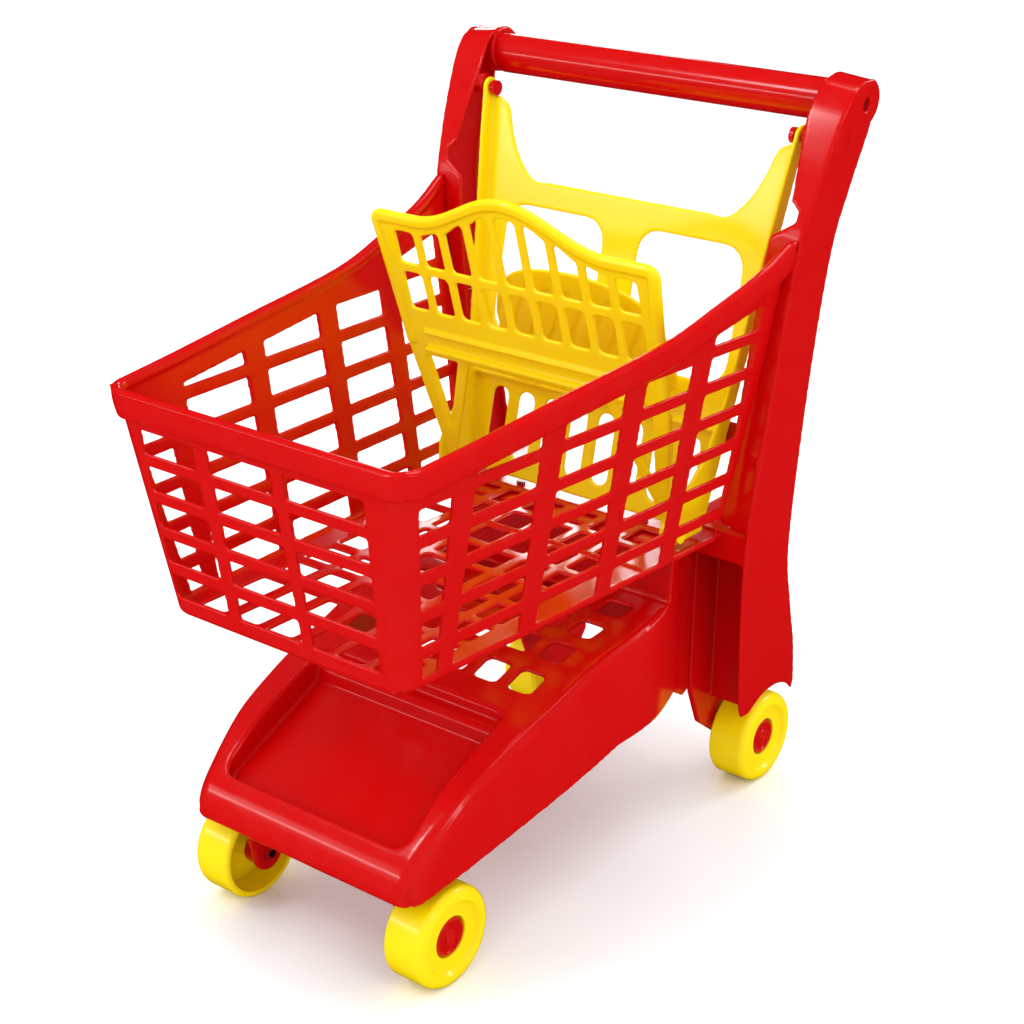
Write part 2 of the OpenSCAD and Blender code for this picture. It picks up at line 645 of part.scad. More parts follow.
// Plate that follows the gate's slanted edge, from a (y, z) outline
module gate_side(t, pts) {
    intersection() {
        along_x(0, 300, pts);
        along_y(-500, 300, [[gate_x(200) - t, 200], [gate_x(200), 200], [gate_x(560), 560],
            [gate_x(560) - t, 560]]);
    }
}
module gate_pin() {
    x = gate_x(gate_pin_z);
    color("red") union() {
        rod_x(x - seat_wall - 5, x - seat_wall - head_gap, gate_pin_y, gate_pin_z, 5.4);
        rod_x(x - seat_wall - head_gap - eps, x + gate_pin_deep - 1, gate_pin_y, gate_pin_z, pin_d / 2);
    }
}

// ---- flap ----
flap_tilt = atan((186 - 122) / (437 - 236));
flap_hw0 = gate_x(flap_z) - seat_wall - 1.2;
function flap_hw(s) = flap_hw0 + 4.5 + 0.072 * s;
function wave(x) = flap_len + (abs(x) < 80 ? flap_wave * pow(cos(x * 90 / 80), 2) : 0);
flap_rim = 8;
flap_round = 9;
flap_rim_t = 7;
flap_low = 100;
cols = 9;
col_pitch = 23;
col_w = 16.5;
row_bar = 172;
// Flap frame: x across, y along the flap from its hinge, z toward the rear
module on_flap() {
    translate([0, flap_y, flap_z]) rotate([90 + flap_tilt, 0, 0]) mirror([0, 0, 1]) children();
}
flap_outline_top = [for (x = [-95 : 5 : 95]) [x, wave(x)]];
module flap_shape(d) {
    r = max(flap_round - d, 1);
    w = flap_hw(flap_len) - d - r;
    polygon(concat([[-flap_hw(flap_low) + d, flap_low + d]], arc([-w, flap_len - d - r], r, 176, 90, 5),
        [for (p = flap_outline_top) [p[0], p[1] - d]],
        arc([w, flap_len - d - r], r, 90, 4, 5), [[flap_hw(flap_low) - d, flap_low + d]]));
}
module seat_flap() {
    color("gold") difference() {
        on_flap() union() {
            linear_extrude(seat_wall) flap_shape(0);
            // raised rim, forward and backward of the sheet
            translate([0, 0, -2]) linear_extrude(flap_rim_t) difference() {
                flap_shape(0);
                flap_shape(flap_rim);
                translate([-200, -1]) square([400, flap_low + flap_rim + 2]);
            }
            // ledge on the lower part of the sheet
            translate([-92, flap_low + 6, -5]) cube([184, 4, 5 + eps]);
            translate([-92, flap_low + 20, -3]) cube([184, 3, 3 + eps]);
            // side legs and their braces
            for (s = [0, 1]) mirror([s, 0, 0]) {
                linear_extrude(seat_wall + 3) polygon([[flap_hw(flap_low) - 14, flap_low + eps],
                    [flap_hw(flap_low), flap_low + eps], [flap_hw0, 22], [flap_hw0, -7], [flap_hw0 - 9, -7],
                    [flap_hw0 - 11, 22]]);
                linear_extrude(seat_wall) polygon([[58, flap_low + eps], [68, flap_low + eps],
                    [flap_hw0 - 10, 40], [flap_hw0 - 10, 18]]);
                translate([flap_hw0 - 9, 0, -4]) rotate([0, 90, 0]) translate([-4, 0, 0])
                    cylinder(h = 9, r = 7);
            }
        }
        on_flap() translate([0, 0, -10]) for (c = [0 : cols - 1]) {
            x = (c - (cols - 1) / 2) * col_pitch;
            x0 = x - col_w / 2;
            x1 = x + col_w / 2;
            linear_extrude(30) round_rect(x0, x1, flap_low + 38, row_bar - 4, 4);
            linear_extrude(30) polygon(concat(
                arc([x0 + 3, row_bar + 6], 3, 180, 270, 3), arc([x1 - 3, row_bar + 6], 3, 270, 360, 3),
                arc([x1 - 3, wave(x1) - 17], 3, 0, 80, 3), [[x, wave(x) - 13.5]],
                arc([x0 + 3, wave(x0) - 17], 3, 100, 180, 3)));
        }
        rod_x(-160, 160, flap_y, flap_z, pin_d / 2 + run_fit);
    }
}
module flap_pin() {
    x = gate_x(flap_z);
    color("red") union() {
        rod_x(x - seat_wall - 11, x + 1, flap_y, flap_z, pin_d / 2);
        rod_x(x + 0.6, x + 2.6, flap_y, flap_z, pin_d / 2 + 2);
    }
}

// ---- seat plate ----
seat_tilt = 20;
seat_hw = 76;
module on_seat() {
    translate([0, seat_hinge_y, seat_hinge_z]) rotate([90 + seat_tilt, 0, 0]) mirror([0, 0, 1]) children();
}
module seat_plate() {
    groove = 1.1;
    color("gold") difference() {
        union() {
            on_seat() linear_extrude(seat_wall) polygon(concat([[-seat_hw, 10], [-seat_hw, 40]],
                curve([[-seat_hw, 40], [-66, 66], [-44, 83], [0, seat_len], [44, 83], [66, 66], [seat_hw, 40]], 5),
                [[seat_hw, 40], [seat_hw, 10]]));
            // knuckles on the rod
            for (s = [-1, 1]) for (x = [20, 62]) rod_x(s * x - 8, s * x + 8, seat_hinge_y, seat_hinge_z, 4.2);
            for (s = [-1, 1]) for (x = [20, 62]) on_seat() translate([s * x - 7.5, 2.6, 0])
                cube([15, 10, seat_wall]);
        }
        // slanting grooves on the front face
        on_seat() for (i = [-4 : 1 : 4]) translate([i * 17, 50, -1]) rotate([0, 0, -28])
            translate([-2.5, -26, 0]) cube([5, 52, 1 + groove]);
        rod_x(-160, 160, seat_hinge_y, seat_hinge_z, pin_d / 4 + run_fit);
    }
}
module seat_plate_rod() {
    color("silver") rod_x(-seat_hw + 3, seat_hw - 3, seat_hinge_y, seat_hinge_z, pin_d / 4);
}

place() base_tray();
place() left() upright();  // upright_left
place() upright();  // upright_right
place() handle_tube();
place() left() handle_screw();  // handle_screw_left
place() handle_screw();  // handle_screw_right
place() basket_floor();
place() front_wall();  // basket_front_wall
place() left() side_wall();  // basket_left_wall
place() side_wall();  // basket_right_wall
place() basket_rim();
place() gate();
place() left() gate_pin();  // gate_pin_left
place() gate_pin();  // gate_pin_right
place() seat_flap();
place() left() flap_pin();  // flap_pin_left
place() flap_pin();  // flap_pin_right
place() seat_plate();
place() seat_plate_rod();
left() at_wheel(front_x, -wheelbase) wheel();  // wheel_front_left
at_wheel(front_x, -wheelbase) wheel();  // wheel_front_right
left() at_wheel(rear_x, 0) wheel();  // wheel_rear_left
at_wheel(rear_x, 0) wheel();  // wheel_rear_right
left() at_wheel(front_x, -wheelbase) axle_pin();  // axle_pin_front_left
at_wheel(front_x, -wheelbase) axle_pin();  // axle_pin_front_right
left() at_wheel(rear_x, 0) axle_pin();  // axle_pin_rear_left
at_wheel(rear_x, 0) axle_pin();  // axle_pin_rear_right
axle_screws();
place() base_screws();
place() basket_screws();

module axle_screws() {
    color("dimgray") for (s = [0, 1]) mirror([s, 0, 0]) {
        at_wheel(front_x, -wheelbase) axle_screw();
        at_wheel(rear_x, 0) axle_screw();
    }
}
module base_screws() {
    color("dimgray") for (s = [0, 1]) mirror([s, 0, 0]) for (p = base_screw_at) {
        rod_x(inner_wall_x - 14, box_x - 1, p[0], p[1], screw_d / 2);
        rod_x(inner_wall_x - 14 - screw_head_h, inner_wall_x - 14, p[0], p[1], screw_head_d / 2);
    }
}
module basket_screws() {
    color("dimgray") for (x = basket_screw_x) translate([x, basket_screw_y, 0]) {
        translate([0, 0, basket_z - 8]) cylinder(h = 8 + basket_wall, r = screw_d / 2);
        translate([0, 0, basket_z + basket_wall]) cylinder(h = screw_head_h, r = screw_head_d / 2);
    }
}
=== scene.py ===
"""A child's plastic shopping cart: looks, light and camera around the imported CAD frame.

Metres, in the frame's own axes: X across the cart, the nose looks along -Y, Z up.
"""

import json
import math

import bmesh
import bpy
import numpy as np
from mathutils import Matrix, Vector


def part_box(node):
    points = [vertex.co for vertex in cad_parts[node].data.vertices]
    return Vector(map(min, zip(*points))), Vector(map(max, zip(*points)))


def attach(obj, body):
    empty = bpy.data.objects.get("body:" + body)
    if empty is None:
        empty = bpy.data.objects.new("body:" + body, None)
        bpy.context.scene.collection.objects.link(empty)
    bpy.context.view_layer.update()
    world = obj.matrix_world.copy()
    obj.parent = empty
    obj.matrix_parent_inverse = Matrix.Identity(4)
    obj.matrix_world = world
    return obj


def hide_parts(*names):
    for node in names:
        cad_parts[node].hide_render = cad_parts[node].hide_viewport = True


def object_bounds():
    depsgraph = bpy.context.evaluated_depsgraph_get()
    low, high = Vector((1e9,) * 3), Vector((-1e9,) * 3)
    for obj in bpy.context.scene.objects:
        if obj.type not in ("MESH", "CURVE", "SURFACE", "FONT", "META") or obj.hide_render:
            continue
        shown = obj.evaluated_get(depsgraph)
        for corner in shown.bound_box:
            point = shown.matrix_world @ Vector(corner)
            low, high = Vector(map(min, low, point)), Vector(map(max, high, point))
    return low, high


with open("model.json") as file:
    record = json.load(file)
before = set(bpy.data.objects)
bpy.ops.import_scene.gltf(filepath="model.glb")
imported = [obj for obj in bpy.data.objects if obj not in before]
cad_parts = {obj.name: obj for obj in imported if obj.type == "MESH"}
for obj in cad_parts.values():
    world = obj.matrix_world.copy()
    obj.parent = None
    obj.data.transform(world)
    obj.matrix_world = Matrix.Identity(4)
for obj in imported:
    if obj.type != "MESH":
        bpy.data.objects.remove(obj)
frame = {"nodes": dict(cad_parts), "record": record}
cad_low, cad_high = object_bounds()
mm = 0.001

# ---- camera, matched to the photograph's viewing angle ----
CAMERA_PLACE = Vector((0.78679, -1.00190, 0.77032))
CAMERA_AZIMUTH = math.radians(37.53)
CAMERA_ELEVATION = math.radians(22.13)
CAMERA_ROLL = math.radians(0.98)
CAMERA_LENS = 70.99
CAMERA_CLIP = (0.05, 200)
SENSOR = 36.0


def make_camera():
    data = bpy.data.cameras.new("camera")
    data.lens = CAMERA_LENS
    data.sensor_width = SENSOR
    data.clip_start, data.clip_end = CAMERA_CLIP
    camera = bpy.data.objects.new("camera", data)
    bpy.context.scene.collection.objects.link(camera)
    back = Vector((
        math.sin(CAMERA_AZIMUTH) * math.cos(CAMERA_ELEVATION),
        -math.cos(CAMERA_AZIMUTH) * math.cos(CAMERA_ELEVATION),
        math.sin(CAMERA_ELEVATION),
    ))
    level = Vector((math.cos(CAMERA_AZIMUTH), math.sin(CAMERA_AZIMUTH), 0))
    above = back.cross(level)
    right = level * math.cos(CAMERA_ROLL) + above * math.sin(CAMERA_ROLL)
    up = above * math.cos(CAMERA_ROLL) - level * math.sin(CAMERA_ROLL)
    turn = Matrix((right, up, back)).transposed().to_4x4()
    camera.matrix_world = Matrix.Translation(CAMERA_PLACE) @ turn
    bpy.context.scene.camera = camera


# ---- materials; noise scales are per metre ----
FLOW_SCALE, SCUFF_SCALE, WAVE_SCALE, GRAIN_SCALE, STEEL_SCALE = 9.0, 60.0, 26.0, 900.0, 700.0
SCUFF_ROUGHENS = 0.06
WAVE_STRENGTH, WAVE_DEPTH = 0.04, 0.8 * mm
GRAIN_STRENGTH, GRAIN_DEPTH = 0.08, 0.08 * mm
STEEL_COLOUR = (0.55, 0.55, 0.56, 1)


def node_of(tree, kind, **inputs):
    """A new node with some input values set; an underscore stands for a space in an input's name."""
    made = tree.nodes.new(kind)
    for name, value in inputs.items():
        made.inputs[name.replace("_", " ")].default_value = value
    return made


def noise(tree, **inputs):
    """The value of a new noise texture in the object's own space."""
    made = node_of(tree, "ShaderNodeTexNoise", **inputs)
    place = tree.nodes.new("ShaderNodeTexCoord")
    tree.links.new(place.outputs["Object"], made.inputs["Vector"])
    return made.outputs["Fac"]


def new_material(name):
    """A material with its node tree and shader."""
    material = bpy.data.materials.new(name)
    material.use_nodes = True
    return material, material.node_tree, material.node_tree.nodes["Principled BSDF"]


def plastic(name, colour, deep, roughness):
    """Glossy moulded plastic: faint flow marks in colour, scuffs in gloss, fine grain and slow waviness."""
    material, tree, shader = new_material(name)
    link = tree.links.new
    tint = tree.nodes.new("ShaderNodeMix")
    tint.data_type = "RGBA"
    tint.inputs["A"].default_value = (*colour, 1)
    tint.inputs["B"].default_value = (*deep, 1)
    link(noise(tree, Scale=FLOW_SCALE, Detail=4.0, Roughness=0.55), tint.inputs["Factor"])
    link(tint.outputs["Result"], shader.inputs["Base Color"])
    # scuffs dull the gloss where the fine noise peaks
    gloss = node_of(
        tree, "ShaderNodeMapRange", From_Min=0.35, From_Max=0.8, To_Min=roughness, To_Max=roughness + SCUFF_ROUGHENS
    )
    link(noise(tree, Scale=SCUFF_SCALE, Detail=5.0, Roughness=0.6), gloss.inputs["Value"])
    link(gloss.outputs["Result"], shader.inputs["Roughness"])
    # moulding grain over slow waviness from shrinkage
    wave = node_of(tree, "ShaderNodeBump", Strength=WAVE_STRENGTH, Distance=WAVE_DEPTH)
    grain = node_of(tree, "ShaderNodeBump", Strength=GRAIN_STRENGTH, Distance=GRAIN_DEPTH)
    link(noise(tree, Scale=WAVE_SCALE, Detail=2.0), wave.inputs["Height"])
    link(noise(tree, Scale=GRAIN_SCALE, Detail=3.0), grain.inputs["Height"])
    link(wave.outputs["Normal"], grain.inputs["Normal"])
    link(grain.outputs["Normal"], shader.inputs["Normal"])
    shader.inputs["IOR"].default_value = 1.5
    shader.inputs["Specular IOR Level"].default_value = 0.5
    shader.inputs["Coat Weight"].default_value = 0.1
    shader.inputs["Coat Roughness"].default_value = 0.08
    return material


def steel():
    """Zinc-plated steel with a fine grain in its gloss."""
    material, tree, shader = new_material("zinc_steel")
    gloss = node_of(tree, "ShaderNodeMapRange", To_Min=0.25, To_Max=0.5)
    tree.links.new(noise(tree, Scale=STEEL_SCALE, Detail=4.0), gloss.inputs["Value"])
    tree.links.new(gloss.outputs["Result"], shader.inputs["Roughness"])
    shader.inputs["Base Color"].default_value = STEEL_COLOUR
    shader.inputs["Metallic"].default_value = 1.0
    return material


MATERIALS = {
    "red_plastic": plastic("red_plastic", (0.56, 0.0004, 0.0008), (0.51, 0.0003, 0.0006), 0.16),
    "yellow_plastic": plastic("yellow_plastic", (0.92, 0.70, 0.0), (0.90, 0.65, 0.0), 0.2),
    "steel": steel(),
}
SLOT_OF = {s["node"]: s["material_slot"] for s in frame["record"]["subparts"]}
BODY_OF = {n: b for b, nodes in frame["record"]["behaviour"]["bodies"].items() for n in nodes}

# ---- moulded pieces ----
WELD_GAP = 0.00002
MOULD_EDGE = 0.9
MOULD_ANGLE = math.radians(35)
MOULD_KEEPS = 0.4
CAD_EDGE = 0.6 * mm
CAD_ANGLE = math.radians(32)


def apply_modifiers(obj):
    graph = bpy.context.evaluated_depsgraph_get()
    mesh = bpy.data.meshes.new_from_object(obj.evaluated_get(graph), depsgraph=graph)
    old = obj.data
    obj.modifiers.clear()
    obj.data = mesh
    bpy.data.meshes.remove(old)


def joined(name, nodes):
    """A new object holding a copy of some CAD nodes' surfaces, closed."""
    bm = bmesh.new()
    for n in nodes:
        bm.from_mesh(frame["nodes"][n].data)
    bmesh.ops.remove_doubles(bm, verts=bm.verts, dist=WELD_GAP)
    mesh = bpy.data.meshes.new(name)
    bm.to_mesh(mesh)
    bm.free()
    obj = bpy.data.objects.new(name, mesh)
    bpy.context.scene.collection.objects.link(obj)
    return obj


def add_mesh(obj, parts):
    """Adds loose closed meshes to an object before it is remeshed."""
    bm = bmesh.new()
    bm.from_mesh(obj.data)
    for vertices, faces in parts:
        made = [bm.verts.new(v) for v in vertices]
        for f in faces:
            bm.faces.new([made[i] for i in f])
    bmesh.ops.recalc_face_normals(bm, faces=bm.faces)
    bm.to_mesh(obj.data)
    bm.free()


def add_bevel(obj, width, segments, angle):
    bevel = obj.modifiers.new("bevel", "BEVEL")
    bevel.width = width
    bevel.segments = segments
    bevel.limit_method = "ANGLE"
    bevel.angle_limit = angle
    return bevel


def finish_surface(obj, slot):
    obj.data.materials.clear()
    obj.data.materials.append(MATERIALS[slot])
    obj.data.polygons.foreach_set("use_smooth", [True] * len(obj.data.polygons))


def moulded(name, nodes, voxel, smooth, shape=None, extra=(), edge=MOULD_EDGE):
    """One piece with soft moulded edges that stands for the given CAD nodes; voxel and edge are in mm."""
    obj = joined(name, nodes)
    add_bevel(obj, edge * mm, 3, MOULD_ANGLE).use_clamp_overlap = False
    apply_modifiers(obj)
    if extra:
        add_mesh(obj, extra)
    remesh = obj.modifiers.new("remesh", "REMESH")
    remesh.mode = "VOXEL"
    remesh.voxel_size = voxel * mm
    apply_modifiers(obj)
    if shape is not None:
        co = np.empty(len(obj.data.vertices) * 3, np.float32)
        obj.data.vertices.foreach_get("co", co)
        co = shape(co.reshape(-1, 3).astype(float))
        obj.data.vertices.foreach_set("co", co.astype(np.float32).ravel())
    soften = obj.modifiers.new("soften", "SMOOTH")
    soften.factor = 0.5
    soften.iterations = smooth
    thin = obj.modifiers.new("thin", "DECIMATE")
    thin.ratio = MOULD_KEEPS
    apply_modifiers(obj)
    finish_surface(obj, SLOT_OF[nodes[0]])
    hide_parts(*nodes)
    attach(obj, BODY_OF[nodes[0]])


def dress_cad():
    """CAD nodes that stay get their material and fine bevels."""
    for name, obj in frame["nodes"].items():
        obj.modifiers.new("weld", "WELD").merge_threshold = WELD_GAP
        add_bevel(obj, CAD_EDGE, 2, CAD_ANGLE)
        finish_surface(obj, SLOT_OF[name])
        obj.modifiers.new("even", "WEIGHTED_NORMAL").keep_sharp = True


# ---- stage ----
FLOOR_HALF = 60
FLOOR_COLOUR, FLOOR_ROUGHNESS = (0.94, 0.94, 0.94, 1), 0.6
WORLD_COLOUR, WORLD_STRENGTH = (1, 1, 1, 1), 1.4
# name, place, aim, size, watts
LIGHTS = (
    ("key", (-0.9, -1.3, 1.8), (0, 0, 0.25), (0.35, 0.35), 5),
    ("strip", (-1.3, -1.9, 0.8), (0, -0.1, 0.3), (0.9, 0.1), 3),
    ("fill", (1.9, -0.7, 1.5), (0, 0, 0.25), (0.5, 0.5), 3),
    ("back", (0.7, 1.5, 1.2), (0, 0, 0.25), (0.5, 0.3), 4),
    ("back_left", (-1.2, 1.6, 1.0), (0, 0, 0.35), (0.5, 0.2), 3),
    ("top", (0.1, 0.3, 2.0), (0, 0, 0.2), (1.0, 0.5), 4),
)


def make_floor():
    mesh = bpy.data.meshes.new("floor")
    bm = bmesh.new()
    bmesh.ops.create_grid(bm, x_segments=2, y_segments=2, size=FLOOR_HALF)
    bm.to_mesh(mesh)
    bm.free()
    floor = bpy.data.objects.new("floor", mesh)
    bpy.context.scene.collection.objects.link(floor)
    material, _, shader = new_material("pale_floor")
    shader.inputs["Base Color"].default_value = FLOOR_COLOUR
    shader.inputs["Roughness"].default_value = FLOOR_ROUGHNESS
    mesh.materials.append(material)
    # the plastic mirrors neither the floor nor the world, only the lights
    floor.visible_glossy = False


def soft_light(name, place, target, size, power):
    data = bpy.data.lights.new(name, "AREA")
    data.shape = "RECTANGLE"
    data.size, data.size_y = size
    data.energy = power
    light = bpy.data.objects.new(name, data)
    bpy.context.scene.collection.objects.link(light)
    light.location = place
    light.rotation_mode = "QUATERNION"
    light.rotation_quaternion = (Vector(target) - Vector(place)).to_track_quat("-Z", "Y")


def make_lights():
    world = bpy.data.worlds.new("studio")
    bpy.context.scene.world = world
    world.use_nodes = True
    world.node_tree.nodes["Background"].inputs["Color"].default_value = WORLD_COLOUR
    world.node_tree.nodes["Background"].inputs["Strength"].default_value = WORLD_STRENGTH
    world.cycles_visibility.glossy = False
    for light in LIGHTS:
        soft_light(*light)
    bpy.context.scene.view_settings.view_transform = "Standard"


# ---- shape helpers ----
def columns(x, y, z):
    return np.stack([x, y, z], axis=1)


def mirror_of(co):
    """Factors that fold points onto the right half, and back again."""
    ones = np.ones(len(co))
    return columns(np.where(co[:, 0] < 0, -1.0, 1.0), ones, ones)


def eased(at, low, high):
    """0 up to low, 1 from high, with a smooth step between."""
    t = np.clip((at - low) / (high - low), 0, 1)
    return t * t * (3 - 2 * t)


def smooth_path(points, steps=6):
    """Catmull-Rom curve through points, which are tuples of numbers."""
    p = [np.array(q, float) for q in points]
    p = [2 * p[0] - p[1], *p, 2 * p[-1] - p[-2]]
    made = []
    for a, b, c, d in zip(p, p[1:], p[2:], p[3:]):
        for t in np.arange(steps) / steps:
            square, cube = (2 * a - 5 * b + 4 * c - d) * t**2, (3 * (b - c) + d - a) * t**3
            made.append(0.5 * (2 * b + (c - a) * t + square + cube))
    return [*made, p[-2]]


def band(rings, n, closed=False):
    """Faces between rings of n points each, the last ring joined to the first if closed."""
    return [
        (k * n + i, k * n + (i + 1) % n, (k + 1) % rings * n + (i + 1) % n, (k + 1) % rings * n + i)
        for k in range(rings if closed else rings - 1)
        for i in range(n)
    ]


def loft(sections):
    """A closed mesh (vertices, faces) through rings of equal length, capped at both ends."""
    n, last = len(sections[0]), len(sections) - 1
    caps = [tuple(range(n - 1, -1, -1)), tuple(last * n + i for i in range(n))]
    return [v for ring in sections for v in ring], band(len(sections), n) + caps


def round_edge(co, d1, n1, d2, n2, radius):
    """Rounds the outer edge of two faces.

    d1 and d2 are each point's distances outside the faces, n1 and n2 the faces' normals.
    """
    s1, s2 = radius + d1, radius + d2
    inside = (s1 > 0) & (s2 > 0)
    s1, s2 = np.where(inside, s1, 1), np.where(inside, s2, 1)
    share = np.maximum(s1, s2) / np.hypot(s1, s2) - 1
    share = np.where(inside, share, 0)
    return co + (share * s1)[:, None] * n1 + (share * s2)[:, None] * n2


# ---- basket: walls from the CAD, a rolled rim, round corners ----
FRONT_HALF_WIDTH = 97 * mm
FLOOR_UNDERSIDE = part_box("basket_floor")[0].z
WALL_FOOT = FLOOR_UNDERSIDE - 3 * mm
FRONT_FOOT_Y = cad_low.y + 25.5 * mm
FRONT_LEAN = 22 / 149
SIDE_TURN = math.atan(16 / 312)
SIDE_LEAN = math.atan(0.162 * math.cos(SIDE_TURN))
# (along, up) in the side wall's plane, mm
RIM_TOP = ((-22, 151), (40, 157), (110, 165), (206, 176), (262, 191), (302, 204), (330, 218.6))
# (outward, up) round the rim's section, mm, up from the wall's top
RIM_PROFILE = (
    (3.0, -17.4), (4.0, -15.8), (4.3, -13), (4.3, -9), (4.1, -6), (3.7, -3.5), (3.1, -1.5), (2.2, 0), (1.1, 0.9),
    (-0.4, 1.2), (-1.9, 0.9), (-3.1, 0), (-3.9, -1.4), (-4.2, -3), (-4.2, -5), (-3, -7), (-1, -8.5), (-1, -17),
)
CORNER_RADIUS = 13 * mm
FOOT_RADIUS = 5 * mm
SIDE_OUT = Vector((
    math.cos(SIDE_LEAN) * math.cos(SIDE_TURN),
    -math.cos(SIDE_LEAN) * math.sin(SIDE_TURN),
    -math.sin(SIDE_LEAN),
))
SIDE_ALONG = Vector((math.sin(SIDE_TURN), math.cos(SIDE_TURN), 0))
SIDE_UP = SIDE_OUT.cross(SIDE_ALONG)
SIDE_FOOT = Vector((FRONT_HALF_WIDTH, FRONT_FOOT_Y, FLOOR_UNDERSIDE))
FRONT_OUT = Vector((0, -1, -FRONT_LEAN)).normalized()


def rim_sweep():
    """The rolled rim: along one side, round the front and back along the other."""
    side = [SIDE_FOOT + (SIDE_ALONG * u + SIDE_UP * v) * mm for u, v in smooth_path(RIM_TOP)]
    # the first ring lies where the offset planes of side and front meet
    rows = np.array([SIDE_OUT[:2], FRONT_OUT[:2]])
    corner = []
    for out, up in RIM_PROFILE:
        z = side[0].z + up * mm
        goal = [plane.dot(SIDE_FOOT) + out * mm - plane.z * z for plane in (SIDE_OUT, FRONT_OUT)]
        corner.append(Vector((*np.linalg.solve(rows, goal), z)))
    right = [corner]
    for k in range(1, len(side)):
        ahead = (side[min(k + 1, len(side) - 1)] - side[k - 1]).normalized()
        across = SIDE_OUT.cross(ahead)
        right.append([side[k] + (SIDE_OUT * out + across * up) * mm for out, up in RIM_PROFILE])
    left = [[Vector((-p.x, p.y, p.z)) for p in ring] for ring in right]
    return loft([*reversed(left), *right])


def basket_shape(co):
    mirror = mirror_of(co)
    half = co * mirror
    side, front, foot = np.array(SIDE_OUT), np.array(FRONT_OUT), np.array((0, 0, -1.0))
    for a, b, radius in ((side, foot, FOOT_RADIUS), (front, foot, FOOT_RADIUS), (side, front, CORNER_RADIUS)):
        gap = [
            WALL_FOOT - half[:, 2] if n is foot else (half - np.array(SIDE_FOOT)) @ n
            for n in (a, b)
        ]
        half = round_edge(half, gap[0], a, gap[1], b, radius)
    return half * mirror


# ---- base: rounded rails and tray edge ----
# (y, z) along the rail's top and (y, half width) along its side, mm
BASE_TOP = np.array(smooth_path((
    (-196, 40), (-197.75, 71), (-199.75, 80), (-187.75, 100.5), (-151.75, 129), (-107.75, 149), (-63.75, 163),
    (-19.75, 176), (25.25, 182), (77.25, 187), (185, 187),
), 5)) * mm
BASE_SIDE = np.array(smooth_path((
    (-205, 95.8), (-185.75, 97), (-129.75, 101), (-49.75, 106), (-2.75, 107), (47.25, 106), (85.25, 96),
    (111.25, 84), (135.25, 80),
), 5)) * mm
RAIL_RADIUS = 6.5 * mm
RAIL_FADE = 14 * mm
RAIL_LEAST = 0.1
SADDLE_FRONT = 73 * mm
FLARE_REACH = (80 * mm, 128 * mm)
FLARE_END = 134.6 * mm
FLARE_OUT = 3.4 * mm
SIDE_SKIN = 7 * mm
NOSE_RADIUS = 13 * mm
NOSE_REACH = (-190 * mm, -140 * mm)
TRAY_HALF = 78 * mm
TRAY_FRONT, TRAY_REAR = -184.75 * mm, -81.75 * mm
TRAY_CORNER = 9 * mm
TRAY_EDGE_RADIUS = 3 * mm


def outside_path(path, y, z):
    """Signed distance above a (y, z) path and the path's upward normal at the nearest place."""
    best = np.full(len(y), 1e9)
    ny, nz, sign = np.zeros(len(y)), np.ones(len(y)), np.ones(len(y))
    for a, b in zip(path, path[1:]):
        d = b - a
        t = np.clip(((y - a[0]) * d[0] + (z - a[1]) * d[1]) / (d @ d), 0, 1)
        ey, ez = y - a[0] - t * d[0], z - a[1] - t * d[1]
        gap = np.hypot(ey, ez)
        near = gap < best
        normal = np.array((-d[1], d[0])) / np.hypot(*d)
        best = np.where(near, gap, best)
        sign = np.where(near, np.where(ey * normal[0] + ez * normal[1] >= 0, 1, -1), sign)
        ny, nz = np.where(near, normal[0], ny), np.where(near, normal[1], nz)
    return best * sign, ny, nz


def outside_tray(x, y):
    """Distance outside the tray, a rounded rectangle in plan, and the direction back into it."""
    middle = (TRAY_FRONT + TRAY_REAR) / 2
    over_x = x - TRAY_HALF + TRAY_CORNER
    over_y = np.abs(y - middle) - (TRAY_REAR - TRAY_FRONT) / 2 + TRAY_CORNER
    beyond_x, beyond_y = np.maximum(over_x, 0), np.maximum(over_y, 0)
    length = np.maximum(np.hypot(beyond_x, beyond_y), 1e-9)
    outside = length + np.minimum(np.maximum(over_x, over_y), 0) - TRAY_CORNER
    return outside, columns(-beyond_x / length, -beyond_y / length * np.sign(y - middle), np.zeros(len(x)))


def base_shape(co):
    mirror = mirror_of(co)
    half = co * mirror
    ones, none = np.ones(len(co)), np.zeros(len(co))
    above, ny, nz = outside_path(BASE_TOP, half[:, 1], half[:, 2])
    top = columns(none, ny, nz)
    outside, inward = outside_tray(half[:, 0], half[:, 1])
    half = round_edge(half, above, top, -outside, inward, TRAY_EDGE_RADIUS)
    # outer edge along the rails and round the nose
    width = np.interp(half[:, 1], BASE_SIDE[:, 0], BASE_SIDE[:, 1])
    radius = NOSE_RADIUS + (RAIL_RADIUS - NOSE_RADIUS) * eased(half[:, 1], *NOSE_REACH)
    radius = radius * np.clip((SADDLE_FRONT - half[:, 1]) / RAIL_FADE, RAIL_LEAST, 1)
    half = round_edge(half, above, top, half[:, 0] - width, columns(ones, none, none), radius)
    # the side flares back out, flush with the upright's wall
    skin = (half[:, 0] > width - SIDE_SKIN) & (half[:, 1] < FLARE_END)
    half[:, 0] += np.where(skin, eased(half[:, 1], *FLARE_REACH) * FLARE_OUT, 0)
    return half * mirror


